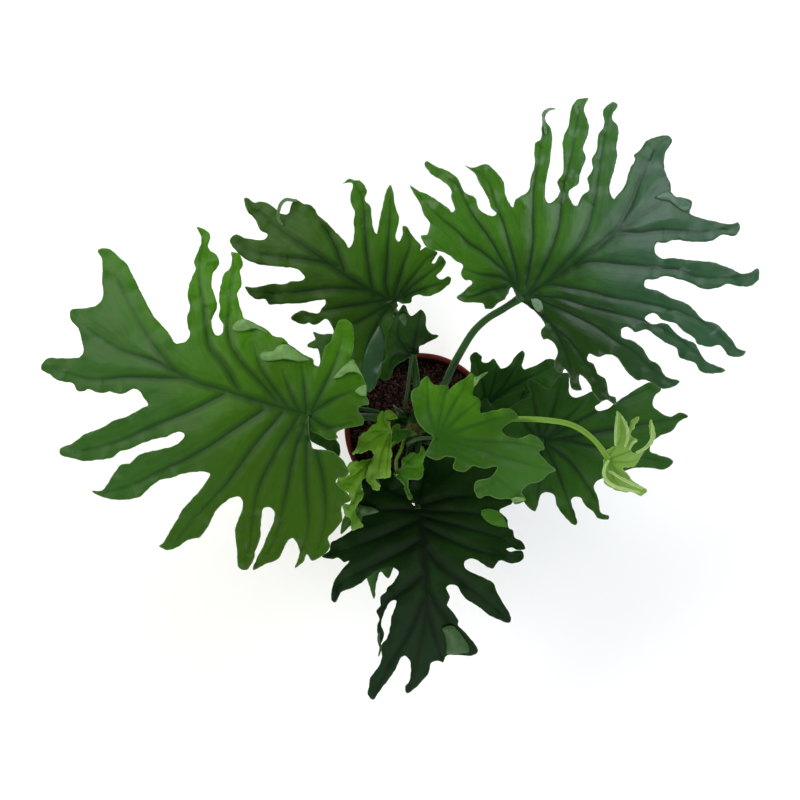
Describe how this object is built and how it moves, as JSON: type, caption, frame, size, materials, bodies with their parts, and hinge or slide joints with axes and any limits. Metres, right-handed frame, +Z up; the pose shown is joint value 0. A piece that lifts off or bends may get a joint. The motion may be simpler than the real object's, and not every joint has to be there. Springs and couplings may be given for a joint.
{
  "type": "potted lacy tree philodendron",
  "caption": "Aroid house plant with deeply cut, wavy leaves on long stalks from one short stem, in a round plastic nursery pot of soil.",
  "frame": {"origin": "middle of the underside of the pot, on the surface that it stands on", "axes": "+Z up along the pot's axis, +X to the right and +Y away in the picture, which looks straight down"},
  "size_m": [0.7318, 0.6363, 0.3815],
  "materials": {
    "pot_plastic": "moulded, satin",
    "potting_soil": "coarse bark and peat mix",
    "stem_bark": "rough, fibrous",
    "leaf": "waxy, satin",
    "dark_leaf": "waxy, satin",
    "young_leaf": "waxy, satin",
    "stalk": "smooth, satin",
    "young_stalk": "smooth, satin"
  },
  "bodies": {
    "root": {"pot": "pot_plastic", "soil": "potting_soil", "stem": "stem_bark", "scale_leaf_rear": "stem_bark", "scale_leaf_right": "stem_bark", "stalk_left": "stalk", "leaf_left": "leaf", "stalk_rear_left": "stalk", "leaf_rear_left": "leaf", "stalk_rear_right": "stalk", "leaf_rear_right": "leaf", "stalk_front": "stalk", "leaf_front": "dark_leaf", "stalk_right": "stalk", "leaf_right": "dark_leaf", "stalk_middle": "stalk", "leaf_middle": "young_leaf", "stalk_rear_small": "stalk", "leaf_rear_small": "dark_leaf", "stalk_inner_rear": "stalk", "leaf_inner_rear": "dark_leaf", "stalk_under_left": "stalk", "leaf_under_left": "dark_leaf", "stalk_under_front": "stalk", "leaf_under_front": "leaf", "stalk_young_centre": "young_stalk", "leaf_young_centre": "young_leaf", "stalk_young_left": "young_stalk", "leaf_young_left": "young_leaf", "stalk_young_right": "young_stalk", "leaf_young_right": "young_leaf", "stalk_young_inner": "young_stalk", "leaf_young_inner": "young_leaf", "stalk_unfurling": "young_stalk", "leaf_unfurling": "young_leaf"}
  },
  "joints": []
}
